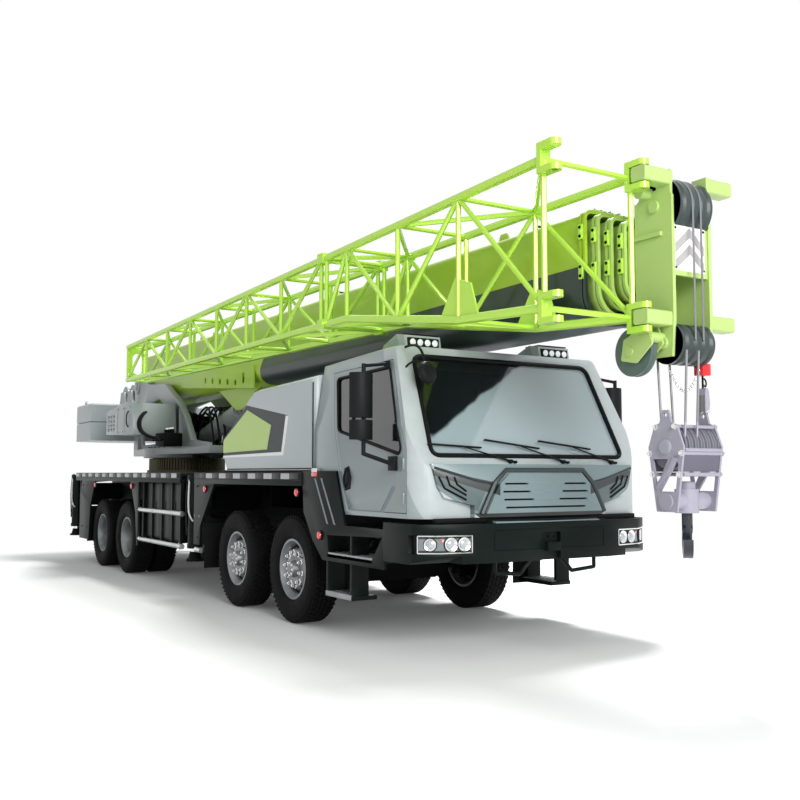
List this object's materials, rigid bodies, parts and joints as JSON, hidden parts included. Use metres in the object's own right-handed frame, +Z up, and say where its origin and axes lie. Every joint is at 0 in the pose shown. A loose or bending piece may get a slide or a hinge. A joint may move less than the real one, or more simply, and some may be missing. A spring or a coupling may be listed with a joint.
{
  "type": "truck mounted telescopic crane",
  "caption": "Four axle truck crane with a telescopic boom, a stowed lattice jib, a slewing upper part, sliding outriggers and a hanging hook block.",
  "frame": {"origin": "on the ground under the middle of the whole crane as it travels", "axes": "+X forward along the boom, +Y to the crane's left, +Z up"},
  "size_m": [13.606, 3.1, 3.7368],
  "materials": {
    "lime_paint": "gloss",
    "grey_paint": "gloss",
    "panel_paint": "satin",
    "dark_paint": "satin",
    "chassis_paint": "satin",
    "table_paint": "gloss",
    "hook_paint": "gloss",
    "ring_steel": "oiled",
    "alloy": "polished",
    "rod_chrome": "polished",
    "rubber": "matte",
    "glass": "clear",
    "trim": "matte"
  },
  "bodies": {
    "carrier": {"chassis_frame": "chassis_paint", "deck": "dark_paint", "slewing_ring": "ring_steel", "engine_hood": "grey_paint", "engine": "ring_steel", "cab_shell": "grey_paint", "cab_glass": "glass", "cab_interior": "trim", "front_panel": "panel_paint", "front_bumper": "dark_paint", "axles": "chassis_paint"},
    "door_right_body": {"door_right": "grey_paint", "door_glass_right": "glass", "mirror_right": "trim"},
    "door_left_body": {"door_left": "grey_paint", "door_glass_left": "glass", "mirror_left": "trim"},
    "steer_1_right": {"knuckle_1_right": "chassis_paint"},
    "steer_1_left": {"knuckle_1_left": "chassis_paint"},
    "steer_2_right": {"knuckle_2_right": "chassis_paint"},
    "steer_2_left": {"knuckle_2_left": "chassis_paint"},
    "wheel_1_right": {"tyre_1_right": "rubber", "rim_1_right": "alloy"},
    "wheel_1_left": {"tyre_1_left": "rubber", "rim_1_left": "alloy"},
    "wheel_2_right": {"tyre_2_right": "rubber", "rim_2_right": "alloy"},
    "wheel_2_left": {"tyre_2_left": "rubber", "rim_2_left": "alloy"},
    "wheel_3_right": {"tyre_3_right": "rubber", "rim_3_right": "alloy"},
    "wheel_3_left": {"tyre_3_left": "rubber", "rim_3_left": "alloy"},
    "wheel_4_right": {"tyre_4_right": "rubber", "rim_4_right": "alloy"},
    "wheel_4_left": {"tyre_4_left": "rubber", "rim_4_left": "alloy"},
    "beam_front_right": {"outrigger_front_right": "dark_paint"},
    "jack_front_right_rod": {"jack_front_right": "rod_chrome"},
    "beam_front_left": {"outrigger_front_left": "dark_paint"},
    "jack_front_left_rod": {"jack_front_left": "rod_chrome"},
    "beam_rear_right": {"outrigger_rear_right": "dark_paint"},
    "jack_rear_right_rod": {"jack_rear_right": "rod_chrome"},
    "beam_rear_left": {"outrigger_rear_left": "dark_paint"},
    "jack_rear_left_rod": {"jack_rear_left": "rod_chrome"},
    "upper": {"turntable": "table_paint", "counterweight": "table_paint", "winches": "table_paint", "operator_cab": "grey_paint", "operator_glass": "glass"},
    "operator_door_body": {"operator_door": "glass"},
    "luff_cylinder": {"luff_barrel": "table_paint"},
    "luff_piston": {"luff_rod": "rod_chrome"},
    "boom_1": {"boom_base": "lime_paint"},
    "boom_2": {"boom_section_2": "lime_paint"},
    "boom_3": {"boom_section_3": "lime_paint"},
    "boom_4": {"boom_section_4": "lime_paint"},
    "boom_5": {"boom_section_5": "lime_paint"},
    "jib_body": {"jib": "lime_paint"},
    "hook": {"hook_block": "hook_paint"}
  },
  "joints": [
    {"name": "door_right_hinge", "type": "hinge", "parent": "carrier", "child": "door_right_body", "pos_m": [4.767, -1.245, 1.6], "axis": [0, 0, 1], "range_deg": [0, 70]},
    {"name": "door_left_hinge", "type": "hinge", "parent": "carrier", "child": "door_left_body", "pos_m": [4.767, 1.245, 1.6], "axis": [0, 0, -1], "range_deg": [0, 70]},
    {"name": "steer_1_right_kingpin", "type": "hinge", "parent": "carrier", "child": "steer_1_right", "pos_m": [2.537, -0.8575, 0.538], "axis": [0, 0, 1], "range_deg": [-32, 32]},
    {"name": "steer_1_left_kingpin", "type": "hinge", "parent": "carrier", "child": "steer_1_left", "pos_m": [2.537, 0.8575, 0.538], "axis": [0, 0, 1], "range_deg": [-32, 32]},
    {"name": "steer_2_right_kingpin", "type": "hinge", "parent": "carrier", "child": "steer_2_right", "pos_m": [1.087, -0.8575, 0.538], "axis": [0, 0, 1], "range_deg": [-25, 25]},
    {"name": "steer_2_left_kingpin", "type": "hinge", "parent": "carrier", "child": "steer_2_left", "pos_m": [1.087, 0.8575, 0.538], "axis": [0, 0, 1], "range_deg": [-25, 25]},
    {"name": "wheel_1_right_spin", "type": "hinge", "parent": "steer_1_right", "child": "wheel_1_right", "pos_m": [2.537, -1.0475, 0.538], "axis": [0, 1, 0], "continuous": true},
    {"name": "wheel_1_left_spin", "type": "hinge", "parent": "steer_1_left", "child": "wheel_1_left", "pos_m": [2.537, 1.0475, 0.538], "axis": [0, 1, 0], "continuous": true},
    {"name": "wheel_2_right_spin", "type": "hinge", "parent": "steer_2_right", "child": "wheel_2_right", "pos_m": [1.087, -1.0475, 0.538], "axis": [0, 1, 0], "continuous": true},
    {"name": "wheel_2_left_spin", "type": "hinge", "parent": "steer_2_left", "child": "wheel_2_left", "pos_m": [1.087, 1.0475, 0.538], "axis": [0, 1, 0], "continuous": true},
    {"name": "wheel_3_right_spin", "type": "hinge", "parent": "carrier", "child": "wheel_3_right", "pos_m": [-3.243, -1.0475, 0.538], "axis": [0, 1, 0], "continuous": true},
    {"name": "wheel_3_left_spin", "type": "hinge", "parent": "carrier", "child": "wheel_3_left", "pos_m": [-3.243, 1.0475, 0.538], "axis": [0, 1, 0], "continuous": true},
    {"name": "wheel_4_right_spin", "type": "hinge", "parent": "carrier", "child": "wheel_4_right", "pos_m": [-4.593, -1.0475, 0.538], "axis": [0, 1, 0], "continuous": true},
    {"name": "wheel_4_left_spin", "type": "hinge", "parent": "carrier", "child": "wheel_4_left", "pos_m": [-4.593, 1.0475, 0.538], "axis": [0, 1, 0], "continuous": true},
    {"name": "beam_front_right_slide", "type": "slide", "parent": "carrier", "child": "beam_front_right", "axis": [0, -1, 0], "range_m": [0, 1.6]},
    {"name": "jack_front_right_slide", "type": "slide", "parent": "beam_front_right", "child": "jack_front_right_rod", "axis": [0, 0, -1], "range_m": [0, 0.55]},
    {"name": "beam_front_left_slide", "type": "slide", "parent": "carrier", "child": "beam_front_left", "axis": [0, 1, 0], "range_m": [0, 1.6]},
    {"name": "jack_front_left_slide", "type": "slide", "parent": "beam_front_left", "child": "jack_front_left_rod", "axis": [0, 0, -1], "range_m": [0, 0.55]},
    {"name": "beam_rear_right_slide", "type": "slide", "parent": "carrier", "child": "beam_rear_right", "axis": [0, -1, 0], "range_m": [0, 1.6]},
    {"name": "jack_rear_right_slide", "type": "slide", "parent": "beam_rear_right", "child": "jack_rear_right_rod", "axis": [0, 0, -1], "range_m": [0, 0.55]},
    {"name": "beam_rear_left_slide", "type": "slide", "parent": "carrier", "child": "beam_rear_left", "axis": [0, 1, 0], "range_m": [0, 1.6]},
    {"name": "jack_rear_left_slide", "type": "slide", "parent": "beam_rear_left", "child": "jack_rear_left_rod", "axis": [0, 0, -1], "range_m": [0, 0.55]},
    {"name": "slew", "type": "hinge", "parent": "carrier", "child": "upper", "pos_m": [-3.918, 0, 1.74], "axis": [0, 0, 1], "continuous": true},
    {"name": "operator_door_hinge", "type": "hinge", "parent": "upper", "child": "operator_door_body", "pos_m": [-3.088, 1.232, 2.4], "axis": [0, 0, 1], "range_deg": [0, 85]},
    {"name": "luff_barrel_pivot", "type": "hinge", "parent": "upper", "child": "luff_cylinder", "pos_m": [-4.063, 0, 1.85], "axis": [0, -1, 0], "range_deg": [0, 75.64]},
    {"name": "luff_rod_slide", "type": "slide", "parent": "luff_cylinder", "child": "luff_piston", "axis": [0.9743, 0, 0.2251], "range_m": [0, 2.0429]},
    {"name": "boom_luff", "type": "hinge", "parent": "upper", "child": "boom_1", "pos_m": [-5.213, 0, 3], "axis": [0, -1, 0], "range_deg": [0, 78]},
    {"name": "boom_extend_2", "type": "slide", "parent": "boom_1", "child": "boom_2", "axis": [1, 0, 0], "range_m": [0, 7.9]},
    {"name": "boom_extend_3", "type": "slide", "parent": "boom_2", "child": "boom_3", "axis": [1, 0, 0], "range_m": [0, 7.9]},
    {"name": "boom_extend_4", "type": "slide", "parent": "boom_3", "child": "boom_4", "axis": [1, 0, 0], "range_m": [0, 7.9]},
    {"name": "boom_extend_5", "type": "slide", "parent": "boom_4", "child": "boom_5", "axis": [1, 0, 0], "range_m": [0, 7.9]},
    {"name": "jib_swing", "type": "hinge", "parent": "boom_5", "child": "jib_body", "pos_m": [6.657, -0.41, 3.1], "axis": [0, 0, 1], "range_deg": [0, 180]},
    {"name": "hook_swing", "type": "hinge", "parent": "boom_5", "child": "hook", "pos_m": [6.627, 0, 2.43], "axis": [0, -1, 0], "range_deg": [-78, 0]}
  ],
  "couplings": [
    {"joint": "steer_1_left_kingpin", "follows": "steer_1_right_kingpin", "ratio": 1},
    {"joint": "steer_2_right_kingpin", "follows": "steer_1_right_kingpin", "ratio": 0.775},
    {"joint": "steer_2_left_kingpin", "follows": "steer_1_right_kingpin", "ratio": 0.775},
    {"joint": "luff_barrel_pivot", "follows": "boom_luff", "ratio": 0.96339},
    {"joint": "luff_rod_slide", "follows": "boom_luff", "m_per_rad": 1.497},
    {"joint": "boom_extend_3", "follows": "boom_extend_2", "ratio": 1},
    {"joint": "boom_extend_4", "follows": "boom_extend_2", "ratio": 1},
    {"joint": "boom_extend_5", "follows": "boom_extend_2", "ratio": 1},
    {"joint": "hook_swing", "follows": "boom_luff", "ratio": -1}
  ]
}
